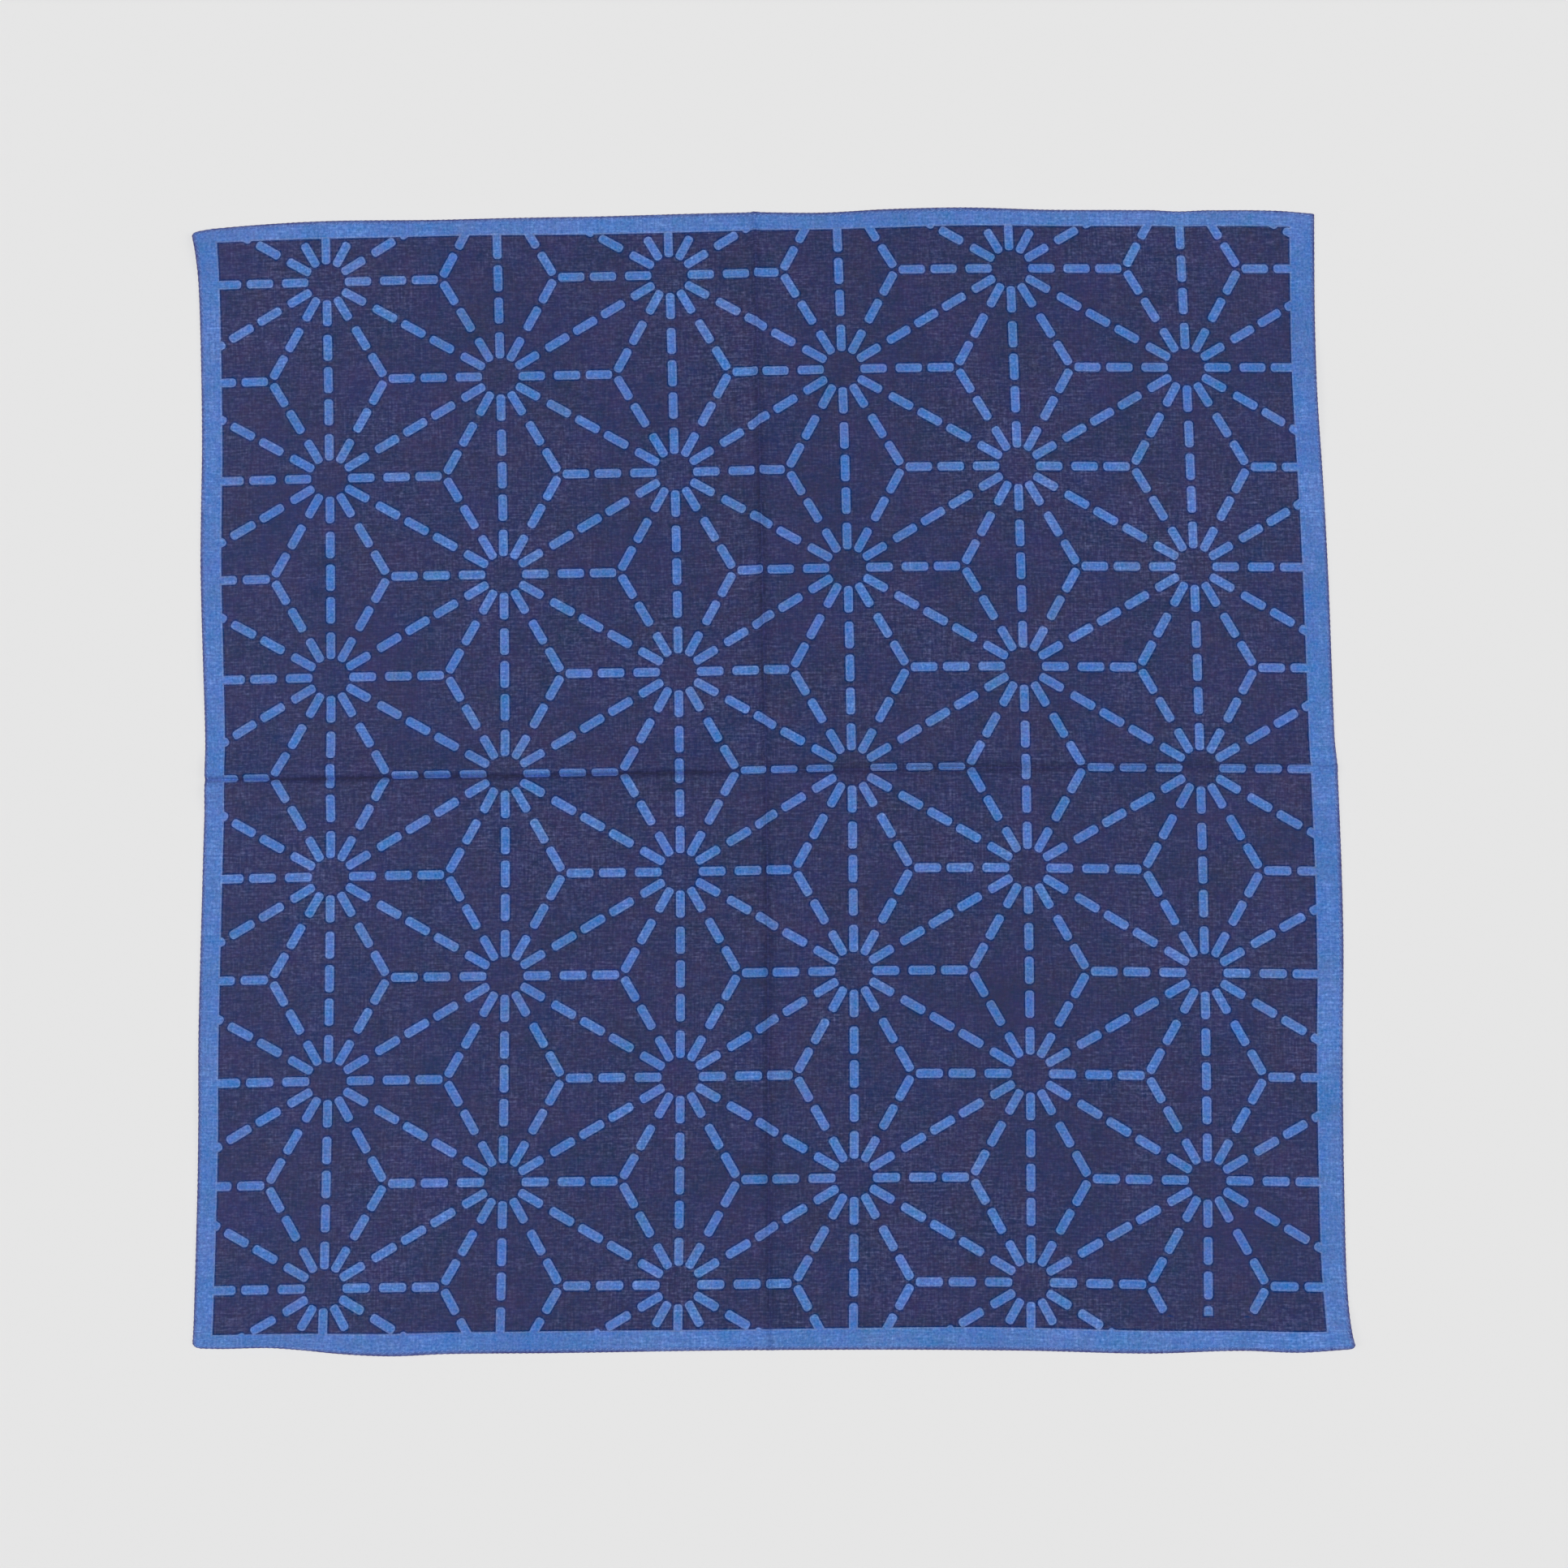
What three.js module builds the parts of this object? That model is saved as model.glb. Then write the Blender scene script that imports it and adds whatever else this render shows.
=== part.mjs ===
// A square cotton bandana laid out flat, opened from a pressed quarter fold.
// Millimetres, +X to the right, +Y to the top edge, +Z up, underside on Z = 0.

import * as THREE from 'three';

// Nominal straight edges, measured from the point where the two pressed folds cross.
const LEFT = -261;
const RIGHT = 264;
const BOTTOM = -266;
const TOP = 264.5;

// Cloth and hem. The hem is the cloth's own edge turned under, so it stands a little higher.
const CLOTH_THICKNESS = 1.0;
const HEM_THICKNESS = 1.5;
const HEM_ROUND = 0.8;
const HEM_FLAT_END = 2.2;
const HEM_WIDTH = 3.4;
const RIM_LOW = 0.25;
const RIM_HIGH = 0.95;

// How the whole sheet lies: its sides bow, and its rows spread a little towards the right.
const BOW_SIDEWAYS = 3.3;
const BOW_UPWARD = 2.5;
const FAN = 1.6;
const HALF_SIDE = 264;

// An uneven edge draws in only the cloth beside it, and a raised edge curls over this width.
const EDGE_REACH = 24;
const CURL_WIDTH = 20;

// Each edge: how far it lies outside its nominal line at a place along it.
const LEFT_EDGE = [
  { along: -266, out: -0.4 },
  { along: -247, out: -0.6 },
  { along: -159, out: -0.5 },
  { along: -114, out: 0.4 },
  { along: -39, out: -0.5 },
  { along: 6, out: -1.3 },
  { along: 52, out: -0.3 },
  { along: 98, out: 1.1 },
  { along: 128, out: 0.8 },
  { along: 160, out: 0.1 },
  { along: 206, out: 0.2 },
  { along: 237, out: 0.8 },
  { along: 253, out: 1.9 },
  { along: 264.5, out: 3.4 },
];

const RIGHT_EDGE = [
  { along: -266, out: 4.6 },
  { along: -259, out: 2.9 },
  { along: -247, out: 1.5 },
  { along: -225, out: 0.4 },
  { along: -195, out: 0.0 },
  { along: -150, out: -0.2 },
  { along: -121, out: 0.5 },
  { along: -76, out: 1.7 },
  { along: 0, out: 1.1 },
  { along: 15, out: 0.2 },
  { along: 91, out: 0.0 },
  { along: 137, out: -0.6 },
  { along: 176, out: -1.7 },
  { along: 215, out: -0.7 },
  { along: 246, out: 0.7 },
  { along: 264.5, out: 1.6 },
];

const BOTTOM_EDGE = [
  { along: -261, out: -5.2 },
  { along: -247, out: -4.6 },
  { along: -226, out: -4.6 },
  { along: -211, out: -3.3 },
  { along: -196, out: -1.4 },
  { along: -181, out: -0.1 },
  { along: -167, out: 0.4 },
  { along: -145, out: -0.2 },
  { along: -93, out: 0.1 },
  { along: 0, out: -0.3 },
  { along: 114, out: 0.1 },
  { along: 173, out: 1.3 },
  { along: 217, out: -0.3 },
  { along: 244, out: 0.3 },
  { along: 264, out: -1.6 },
];

const TOP_EDGE = [
  { along: -261, out: -2.6 },
  { along: -252, out: -0.6 },
  { along: -230, out: 0.8 },
  { along: -197, out: 1.4 },
  { along: -150, out: 0.4 },
  { along: -90, out: -0.1 },
  { along: 0, out: 0.4 },
  { along: 33, out: -0.3 },
  { along: 63, out: 0.9 },
  { along: 100, out: 1.3 },
  { along: 140, out: -0.2 },
  { along: 186, out: -0.8 },
  { along: 201, out: -1.9 },
  { along: 217, out: -1.0 },
  { along: 247, out: -1.2 },
  { along: 264, out: -2.7 },
];

// The pressed folds. A ridge stands up between two flanks; a valley lies between two soft shoulders.
const CREST_ROUND = 0.8;
const FLANK_WIDTH = 2.3;
const TROUGH_HALF_WIDTH = 2.3;
const FOLD_REACH = 18;

const UPRIGHT_FOLD = [
  { along: -266, ridge: 1.6, valley: 0 },
  { along: -215, ridge: 2.2, valley: 0 },
  { along: -92, ridge: 2.9, valley: 0 },
  { along: 0, ridge: 2.4, valley: 0 },
  { along: 95, ridge: 2.9, valley: 0 },
  { along: 215, ridge: 2.1, valley: 0 },
  { along: 264.5, ridge: 1.5, valley: 0 },
];

const LEVEL_FOLD = [
  { along: -261, ridge: 0, valley: 2.1 },
  { along: -215, ridge: 0, valley: 2.8 },
  { along: -60, ridge: 0, valley: 2.9 },
  { along: -8, ridge: 0, valley: 0.7 },
  { along: 12, ridge: 1.7, valley: 0 },
  { along: 85, ridge: 2.9, valley: 0 },
  { along: 140, ridge: 2.3, valley: 0 },
  { along: 215, ridge: 1.7, valley: 0 },
  { along: 264, ridge: 1.1, valley: 0 },
];

// Neither fold is quite straight: how far aside its line lies, with the cloth beside it.
const WANDER_REACH = 30;

const UPRIGHT_WANDER = [
  { along: -266, aside: 2.4 },
  { along: -200, aside: 0.9 },
  { along: -130, aside: 0.4 },
  { along: -60, aside: 0.3 },
  { along: 0, aside: 0.1 },
  { along: 165, aside: 0.1 },
  { along: 225, aside: 0.8 },
  { along: 264.5, aside: 1.2 },
];

const LEVEL_WANDER = [
  { along: -261, aside: -0.8 },
  { along: -170, aside: -1.0 },
  { along: -105, aside: -1.4 },
  { along: -45, aside: -1.0 },
  { along: 20, aside: -0.7 },
  { along: 100, aside: -0.3 },
  { along: 264, aside: 0.0 },
];

// Places where the hem lifts off the ground: the side, the place along it, its spread and its rise.
const EDGE_LIFTS = [
  { side: 'left', along: 262, spread: 26, rise: 2.2 },
  { side: 'left', along: 60, spread: 36, rise: 1.2 },
  { side: 'left', along: -150, spread: 40, rise: 1.0 },
  { side: 'right', along: 176, spread: 38, rise: 1.8 },
  { side: 'right', along: -150, spread: 34, rise: 1.3 },
  { side: 'right', along: -262, spread: 22, rise: 1.8 },
  { side: 'bottom', along: -222, spread: 30, rise: 1.8 },
  { side: 'bottom', along: 110, spread: 40, rise: 1.0 },
  { side: 'bottom', along: 226, spread: 24, rise: 1.2 },
  { side: 'top', along: -110, spread: 44, rise: 1.0 },
  { side: 'top', along: 201, spread: 22, rise: 1.7 },
];

// Corners, rounded by how the hem was turned.
const CORNER_ROUND = { leftBottom: 4.5, rightBottom: 2.4, leftTop: 2.6, rightTop: 0.8 };

// Grid lines: close together at the hem and at the pressed folds, even between them.
const CURL_START = 8;
const HEM_LINES = [0, HEM_ROUND, HEM_FLAT_END, HEM_WIDTH, CURL_START, CURL_WIDTH];
const FOLD_LINES = [0, 0.8, 1.7, 2.8, 4.4, 7, 11, FOLD_REACH];
const OPEN_SPACING = 22.5;
const SLOPE_STEP = 0.2;

const CLOTH_COLOUR = 0x373b61;
const CLOTH_ROUGHNESS = 0.92;

// Value of a table's column at a place along it, on a smooth curve through the rows.
function columnAt(rows, column, along) {
  const last = rows.length - 1;
  if (along <= rows[0].along) return rows[0][column];
  if (along >= rows[last].along) return rows[last][column];
  let row = 0;
  while (rows[row + 1].along < along) row += 1;
  const slope = (at) => {
    const before = rows[Math.max(at - 1, 0)];
    const after = rows[Math.min(at + 1, last)];
    return (after[column] - before[column]) / (after.along - before.along);
  };
  const span = rows[row + 1].along - rows[row].along;
  const t = (along - rows[row].along) / span;
  const rise = t * t * (3 - 2 * t);
  const straight = rows[row][column] * (1 - rise) + rows[row + 1][column] * rise;
  const leaving = slope(row) * t * (1 - t) * (1 - t) * span;
  const arriving = slope(row + 1) * t * t * (t - 1) * span;
  return straight + leaving + arriving;
}

// 1 at a hem's outer edge, falling softly to 0 at the given width.
function nearEdge(inset, width) {
  const left = Math.max(0, 1 - inset / width);
  return left * left;
}

// Grid lines along one direction, from the low edge over the fold at 0 to the high edge.
function gridLines(low, high) {
  const half = (length) => {
    const edge = HEM_LINES[HEM_LINES.length - 1];
    const fold = FOLD_LINES[FOLD_LINES.length - 1];
    const open = length - edge - fold;
    const count = Math.round(open / OPEN_SPACING);
    const between = Array.from({ length: count - 1 }, (_, i) => fold + (open * (i + 1)) / count);
    const hem = HEM_LINES.map((inset) => length - inset).reverse();
    return [...FOLD_LINES, ...between, ...hem];
  };
  const below = half(-low).slice(1).reverse().map((distance) => -distance);
  return [...below, ...half(high)];
}

// Rounds one corner: insets inside the radius are carried from a square onto a quarter disc.
function roundCorner(a, b, radius) {
  if (a >= radius || b >= radius) return [a, b];
  const p = 1 - a / radius;
  const q = 1 - b / radius;
  const roundedA = radius * (1 - p * Math.sqrt(1 - (q * q) / 2));
  const roundedB = radius * (1 - q * Math.sqrt(1 - (p * p) / 2));
  return [roundedA, roundedB];
}

// Height of the pressed fold at a distance from its line, by the fold's table at a place along it.
function foldLift(fold, along, distance) {
  const reach = Math.max(0, 1 - (distance / FOLD_REACH) ** 2) ** 2;
  const crest = Math.exp((CREST_ROUND - Math.hypot(distance, CREST_ROUND)) / FLANK_WIDTH);
  const trough = 1 - Math.exp(-((distance / TROUGH_HALF_WIDTH) ** 2));
  const height = columnAt(fold, 'ridge', along) * crest + columnAt(fold, 'valley', along) * trough;
  return height * reach;
}

// Both pressed folds together.
function foldsAt(x, y) {
  return Math.hypot(foldLift(UPRIGHT_FOLD, y, x), foldLift(LEVEL_FOLD, x, y));
}

// How much taller than thick a slanted cloth stands: the length of the slope for each step aside.
function slantAt(x, y) {
  const acrossSlope = (foldsAt(x + SLOPE_STEP, y) - foldsAt(x - SLOPE_STEP, y)) / (2 * SLOPE_STEP);
  const upwardSlope = (foldsAt(x, y + SLOPE_STEP) - foldsAt(x, y - SLOPE_STEP)) / (2 * SLOPE_STEP);
  return Math.hypot(1, acrossSlope, upwardSlope);
}

// How far the underside stands off the ground: the two folds together, and the lifted stretches of hem.
function liftAt(x, y, insets) {
  const hems = EDGE_LIFTS.map(({ side, along, spread, rise }) => {
    const place = side === 'left' || side === 'right' ? y : x;
    const bell = Math.max(0, 1 - ((place - along) / spread) ** 2) ** 2;
    return rise * bell * nearEdge(insets[side], CURL_WIDTH);
  });
  return foldsAt(x, y) + Math.max(...hems);
}

// Section of the hem: a rounded rim, a flat top, then down to the single cloth.
function sectionAt(inset) {
  if (inset < HEM_ROUND / 2) return { low: RIM_LOW, high: RIM_HIGH };
  const inHem = inset < (HEM_FLAT_END + HEM_WIDTH) / 2;
  return { low: 0, high: inHem ? HEM_THICKNESS : CLOTH_THICKNESS };
}

// One point of the laid cloth, from its place on the nominal rectangle.
function layPoint(gridX, gridY) {
  const insets = { left: gridX - LEFT, right: RIGHT - gridX, bottom: gridY - BOTTOM, top: TOP - gridY };
  const section = sectionAt(Math.min(...Object.values(insets)));
  for (const [corner, radius] of Object.entries(CORNER_ROUND)) {
    const across = corner.startsWith('left') ? 'left' : 'right';
    const upright = corner.endsWith('Bottom') ? 'bottom' : 'top';
    const [a, b] = roundCorner(insets[across], insets[upright], radius);
    insets[across] = a;
    insets[upright] = b;
  }
  const flatX = insets.left < insets.right ? LEFT + insets.left : RIGHT - insets.right;
  const flatY = insets.bottom < insets.top ? BOTTOM + insets.bottom : TOP - insets.top;
  const lift = liftAt(flatX, flatY, insets);
  const slant = slantAt(flatX, flatY);
  const x = flatX + columnAt(UPRIGHT_WANDER, 'aside', flatY) * Math.exp(-((flatX / WANDER_REACH) ** 2));
  const y = flatY + columnAt(LEVEL_WANDER, 'aside', flatX) * Math.exp(-((flatY / WANDER_REACH) ** 2));
  const outX = columnAt(RIGHT_EDGE, 'out', y) * nearEdge(insets.right, EDGE_REACH)
    - columnAt(LEFT_EDGE, 'out', y) * nearEdge(insets.left, EDGE_REACH);
  const outY = columnAt(TOP_EDGE, 'out', x) * nearEdge(insets.top, EDGE_REACH)
    - columnAt(BOTTOM_EDGE, 'out', x) * nearEdge(insets.bottom, EDGE_REACH);
  const s = x / HALF_SIDE;
  const t = y / HALF_SIDE;
  return {
    x: x + outX - BOW_SIDEWAYS * t * t,
    y: y + outY - BOW_UPWARD * s * s + FAN * s * t,
    low: lift + section.low,
    high: lift + section.high * slant,
  };
}

// Closed sheet: the top and underside grids, joined round the rim.
function makeCloth() {
  const columns = gridLines(LEFT, RIGHT);
  const rows = gridLines(BOTTOM, TOP);
  const points = rows.flatMap((y) => columns.map((x) => layPoint(x, y)));
  const positions = [
    ...points.flatMap(({ x, y, high }) => [x, y, high]),
    ...points.flatMap(({ x, y, low }) => [x, y, low]),
  ];
  const across = columns.length;
  const underside = points.length;
  const triangles = [];
  const addQuad = (a, b, c, d) => triangles.push(a, b, c, a, c, d);
  for (let row = 0; row < rows.length - 1; row += 1) {
    for (let column = 0; column < across - 1; column += 1) {
      const a = row * across + column;
      const b = a + 1;
      const c = b + across;
      const d = a + across;
      addQuad(a, b, c, d);
      addQuad(underside + a, underside + d, underside + c, underside + b);
    }
  }
  const rim = [
    ...columns.map((_, i) => i),
    ...rows.slice(1).map((_, i) => (i + 2) * across - 1),
    ...columns.slice(1).map((_, i) => rows.length * across - 2 - i),
    ...rows.slice(1, -1).map((_, i) => (rows.length - 2 - i) * across),
  ];
  rim.forEach((a, i) => {
    const b = rim[(i + 1) % rim.length];
    addQuad(underside + a, underside + b, b, a);
  });
  const geometry = new THREE.BufferGeometry();
  geometry.setAttribute('position', new THREE.Float32BufferAttribute(positions, 3));
  geometry.setIndex(triangles);
  geometry.computeBoundingBox();
  const centre = geometry.boundingBox.getCenter(new THREE.Vector3());
  geometry.translate(-centre.x, -centre.y, -geometry.boundingBox.min.z);
  geometry.computeVertexNormals();
  return geometry;
}

const cloth = new THREE.Mesh(
  makeCloth(),
  new THREE.MeshStandardMaterial({ color: CLOTH_COLOUR, roughness: CLOTH_ROUGHNESS, metalness: 0 }),
);
cloth.name = 'bandana_cloth';

const bandana = new THREE.Group();
bandana.add(cloth);

export default bandana;
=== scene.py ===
# %% [markdown]
# A cotton bandana, opened out of its pressed quarter fold and laid on a pale floor.
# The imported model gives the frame: one body and one plain solid sheet. Everything here
# is built around that sheet, in metres, and replaces it with a thin printed cloth.

# %% Load the frame
import math

import bpy
import numpy as np
from mathutils import Matrix, Vector


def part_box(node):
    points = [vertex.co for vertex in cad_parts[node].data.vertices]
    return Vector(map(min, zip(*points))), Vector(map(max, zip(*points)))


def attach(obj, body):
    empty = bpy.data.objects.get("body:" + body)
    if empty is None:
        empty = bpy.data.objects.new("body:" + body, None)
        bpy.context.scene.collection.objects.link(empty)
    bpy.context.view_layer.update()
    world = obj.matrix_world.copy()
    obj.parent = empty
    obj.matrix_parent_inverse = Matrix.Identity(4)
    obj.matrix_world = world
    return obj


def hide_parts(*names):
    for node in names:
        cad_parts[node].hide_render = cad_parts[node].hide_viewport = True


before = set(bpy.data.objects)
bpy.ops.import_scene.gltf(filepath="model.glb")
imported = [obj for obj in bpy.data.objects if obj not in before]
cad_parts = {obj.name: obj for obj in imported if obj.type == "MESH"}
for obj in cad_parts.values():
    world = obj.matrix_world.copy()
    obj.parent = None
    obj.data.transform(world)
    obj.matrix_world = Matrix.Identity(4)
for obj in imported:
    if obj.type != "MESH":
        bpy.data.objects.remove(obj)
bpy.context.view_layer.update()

CLOTH_NODE = "bandana_cloth"
BODY = "root"
MM = 0.001
node_low, node_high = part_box(CLOTH_NODE)
print("CAD sheet, mm:", [round(v / MM, 1) for v in node_high - node_low])

# %% [markdown]
# The camera looks down at the cloth from almost straight above, a little from its lower
# edge, so the far edge is slightly smaller. Its place is worked out from the point it
# looks at, the tilt away from plumb and a small turn. The lens follows from the scale:
# so many millimetres of cloth have to fill the frame at that distance.

# %% Camera
CAMERA_DISTANCE = 1500 * MM
CAMERA_TILT = math.radians(6.195)
CAMERA_TURN = math.radians(0.7214)
LOOK_AT = Vector((9.3, -4.9, 0.0)) * MM
FRAME_WIDTH_AT_CLOTH = 726.8 * MM
SENSOR_WIDTH = 36.0


def make_camera():
    """Right, up and back axes of a camera that is tilted off plumb and turned about plumb."""
    plumb = Vector((0, 0, 1))
    right = Vector((math.cos(CAMERA_TURN), -math.sin(CAMERA_TURN), 0))
    ahead = Vector((math.sin(CAMERA_TURN), math.cos(CAMERA_TURN), 0))
    up = ahead * math.cos(CAMERA_TILT) + plumb * math.sin(CAMERA_TILT)
    back = plumb * math.cos(CAMERA_TILT) - ahead * math.sin(CAMERA_TILT)
    data = bpy.data.cameras.new("camera")
    data.sensor_width = SENSOR_WIDTH
    data.lens = SENSOR_WIDTH * CAMERA_DISTANCE / FRAME_WIDTH_AT_CLOTH
    camera = bpy.data.objects.new("camera", data)
    axes = Matrix((right, up, back)).transposed().to_4x4()
    camera.matrix_world = Matrix.Translation(LOOK_AT + back * CAMERA_DISTANCE) @ axes
    bpy.context.scene.collection.objects.link(camera)
    bpy.context.scene.camera = camera
    return camera


camera = make_camera()
print("lens, mm:", round(camera.data.lens, 2))

# %% [markdown]
# Shader maths reads best as plain expressions. This small class wraps one socket, and
# Python's operators on it add Math nodes, so 1 - mask works as it is written. Every other
# kind of node comes from its method node: the type, the settings, then the sockets.

# %% Shader maths
SCREEN_WHITE = 255
MIDDLE_GREY = 128, 128, 128

# the screen's colour curve: a lifted power, with a straight stretch near black
CURVE_POWER, CURVE_LIFT = 2.4, 0.055
STRAIGHT_END, STRAIGHT_SLOPE = 0.04045, 12.92


class Shade:
    """One socket of a node tree, with operators that add Math nodes to that tree."""

    def __init__(self, tree, socket=None):
        self.tree = tree
        self.socket = socket

    def node(self, kind, settings=None, inputs=None, output=0):
        """Adds a node of this type: its settings, then values or links by socket name or number."""
        made = self.tree.nodes.new(kind)
        for name, value in (settings or {}).items():
            setattr(made, name, value)
        for key, value in (inputs or {}).items():
            named = [s for s in made.inputs if key in (s.identifier, s.name)]
            socket = made.inputs[key] if isinstance(key, int) else named[0]
            if isinstance(value, Shade):
                self.tree.links.new(value.socket, socket)
            else:
                socket.default_value = value
        found = [s for s in made.outputs if output in (s.identifier, s.name)]
        return Shade(self.tree, made.outputs[output] if isinstance(output, int) else found[0])

    def math(self, operation, *values):
        return self.node("ShaderNodeMath", {"operation": operation}, dict(enumerate(values)))

    def __add__(self, other):
        return self.math("ADD", self, other)

    def __radd__(self, other):
        return self.math("ADD", other, self)

    def __sub__(self, other):
        return self.math("SUBTRACT", self, other)

    def __rsub__(self, other):
        return self.math("SUBTRACT", other, self)

    def __mul__(self, other):
        return self.math("MULTIPLY", self, other)

    def __rmul__(self, other):
        return self.math("MULTIPLY", other, self)

    def __truediv__(self, other):
        return self.math("DIVIDE", self, other)

    def __gt__(self, other):
        return self.math("GREATER_THAN", self, other)

    def __abs__(self):
        return self.math("ABSOLUTE", self)

    def least(self, other):
        return self.math("MINIMUM", self, other)

    def most(self, other):
        return self.math("MAXIMUM", self, other)

    def root(self):
        return self.math("SQRT", self)

    def sine(self):
        return self.math("SINE", self)

    def fold(self, size):
        """Distance to the nearest even multiple of size, so a pattern mirrors at every multiple."""
        return self.math("PINGPONG", self, size)

    def step(self, low, high):
        """0 up to low, 1 from high, and a smooth step between them."""
        reach = {"Value": self, "From Min": low, "From Max": high}
        return self.node("ShaderNodeMapRange", {"interpolation_type": "SMOOTHSTEP"}, reach)

    def blend(self, first, second, way="MIX"):
        """Two colours mixed by this value: the first at 0, and at 1 the second, their sum or product."""
        settings = {"data_type": "RGBA", "blend_type": way, "clamp_factor": way == "MIX"}
        ends = {"Factor_Float": self, "A_Color": first, "B_Color": second}
        return self.node("ShaderNodeMix", settings, ends, "Result_Color")


def new_material(name):
    """A material with its Principled shader, and a Shade to start its maths from."""
    material = bpy.data.materials.new(name)
    material.use_nodes = True
    return material, material.node_tree.nodes["Principled BSDF"], Shade(material.node_tree)


def link(shade, shader, socket):
    """Leads a worked-out value into one socket of the shader."""
    shade.tree.links.new(shade.socket, shader.inputs[socket])


def linear(red, green, blue):
    """A colour given as it looks on screen, from 0 to 255, as Blender's linear numbers."""
    values = np.array((red, green, blue)) / SCREEN_WHITE
    bright = ((values + CURVE_LIFT) / (1 + CURVE_LIFT)) ** CURVE_POWER
    return (*np.where(values <= STRAIGHT_END, values / STRAIGHT_SLOPE, bright), 1.0)


print("middle grey in linear numbers:", round(linear(*MIDDLE_GREY)[0], 3))

# %% [markdown]
# Studio light: one wide lamp high overhead, a little towards the lower edge, does most of the
# work. Two weaker lamps stand far out to the left and right, and a pale world fills the rest.
# All are distant lamps, so the floor is evenly lit. Light from above falls square on the
# cloth and slants on the flanks of a crease, so creases show dark, the far flank darkest.

# %% Light, world and floor
LAMPS = (
    # name, direction towards it, angle it fills in degrees, strength
    ("overhead_lamp", (0.0, -0.08, 1.0), 20, 2.55),
    ("left_lamp", (-1.2, -0.1, 1.0), 30, 0.24),
    ("right_lamp", (1.2, -0.1, 1.0), 30, 0.24),
)
LAMP_DISTANCE = 3.0
WORLD_GREY = 0.9
WORLD_STRENGTH = 0.09
FLOOR_SIDE = 60.0
FLOOR_DROP = 0.25 * MM
FLOOR_GREY = 0.80
FLOOR_ROUGHNESS = 0.95
FLOOR_SHINE = 0.1


def make_lamp(name, direction, angle, strength):
    """A distant lamp in this direction from the cloth, as wide as the angle it fills."""
    data = bpy.data.lights.new(name, "SUN")
    data.angle = math.radians(angle)
    data.energy = strength
    lamp = bpy.data.objects.new(name, data)
    lamp.location = Vector(direction).normalized() * LAMP_DISTANCE
    lamp.rotation_mode = "QUATERNION"
    lamp.rotation_quaternion = (-Vector(direction)).to_track_quat("-Z", "Y")
    bpy.context.scene.collection.objects.link(lamp)


def make_world():
    """An even pale glow from all around."""
    world = bpy.data.worlds.new("studio")
    world.use_nodes = True
    background = world.node_tree.nodes["Background"]
    background.inputs["Color"].default_value = (WORLD_GREY, WORLD_GREY, WORLD_GREY, 1)
    background.inputs["Strength"].default_value = WORLD_STRENGTH
    bpy.context.scene.world = world


def make_floor():
    """One square of matt pale floor, a hair under the cloth so that the two never coincide."""
    half = FLOOR_SIDE / 2
    corners = [(-half, -half), (half, -half), (half, half), (-half, half)]
    mesh = bpy.data.meshes.new("floor")
    mesh.from_pydata([(x, y, -FLOOR_DROP) for x, y in corners], [], [(0, 1, 2, 3)])
    material, shader, _ = new_material("pale_floor")
    shader.inputs["Base Color"].default_value = (FLOOR_GREY, FLOOR_GREY, FLOOR_GREY, 1)
    shader.inputs["Roughness"].default_value = FLOOR_ROUGHNESS
    shader.inputs["Specular IOR Level"].default_value = FLOOR_SHINE
    mesh.materials.append(material)
    floor = bpy.data.objects.new("floor", mesh)
    bpy.context.scene.collection.objects.link(floor)


for lamp in LAMPS:
    make_lamp(*lamp)
make_world()
make_floor()
bpy.context.scene.view_settings.view_transform = "Standard"
print("lamps:", [lamp[0] for lamp in LAMPS])

# %% [markdown]
# How the cloth lies. No laid cloth is a perfect square: each side has its own gentle
# wander, the corners flare or round off, and the whole sheet bows. Each side is a short
# table of how far the edge lies outside its nominal straight line, joined by a smooth curve.
# These are the same sizes as the solid's, so the thin cloth follows it.

# %% The outline's tables
LEFT, RIGHT, BOTTOM, TOP = np.array((-261.0, 264.0, -266.0, 264.5)) * MM
HALF_SIDE = 264 * MM
BOW_SIDEWAYS = 3.3 * MM
BOW_UPWARD = 2.5 * MM
FAN = 1.6 * MM
EDGE_REACH = 24 * MM

# along the side, out past the nominal edge
LEFT_EDGE = np.array((
    (-266, -0.4), (-247, -0.6), (-159, -0.5), (-114, 0.4), (-39, -0.5), (6, -1.3), (52, -0.3),
    (98, 1.1), (128, 0.8), (160, 0.1), (206, 0.2), (237, 0.8), (253, 1.9), (264.5, 3.4),
)) * MM
RIGHT_EDGE = np.array((
    (-266, 4.6), (-259, 2.9), (-247, 1.5), (-225, 0.4), (-195, 0.0), (-150, -0.2), (-121, 0.5),
    (-76, 1.7), (0, 1.1), (15, 0.2), (91, 0.0), (137, -0.6), (176, -1.7), (215, -0.7),
    (246, 0.7), (264.5, 1.6),
)) * MM
BOTTOM_EDGE = np.array((
    (-261, -5.2), (-247, -4.6), (-226, -4.6), (-211, -3.3), (-196, -1.4), (-181, -0.1),
    (-167, 0.4), (-145, -0.2), (-93, 0.1), (0, -0.3), (114, 0.1), (173, 1.3), (217, -0.3),
    (244, 0.3), (264, -1.6),
)) * MM
TOP_EDGE = np.array((
    (-261, -2.6), (-252, -0.6), (-230, 0.8), (-197, 1.4), (-150, 0.4), (-90, -0.1), (0, 0.4),
    (33, -0.3), (63, 0.9), (100, 1.3), (140, -0.2), (186, -0.8), (201, -1.9), (217, -1.0),
    (247, -1.2), (264, -2.7),
)) * MM

# radius at left bottom, right bottom, right top, left top
CORNER_ROUND = np.array((4.5, 2.4, 0.8, 2.6)) * MM


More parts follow.
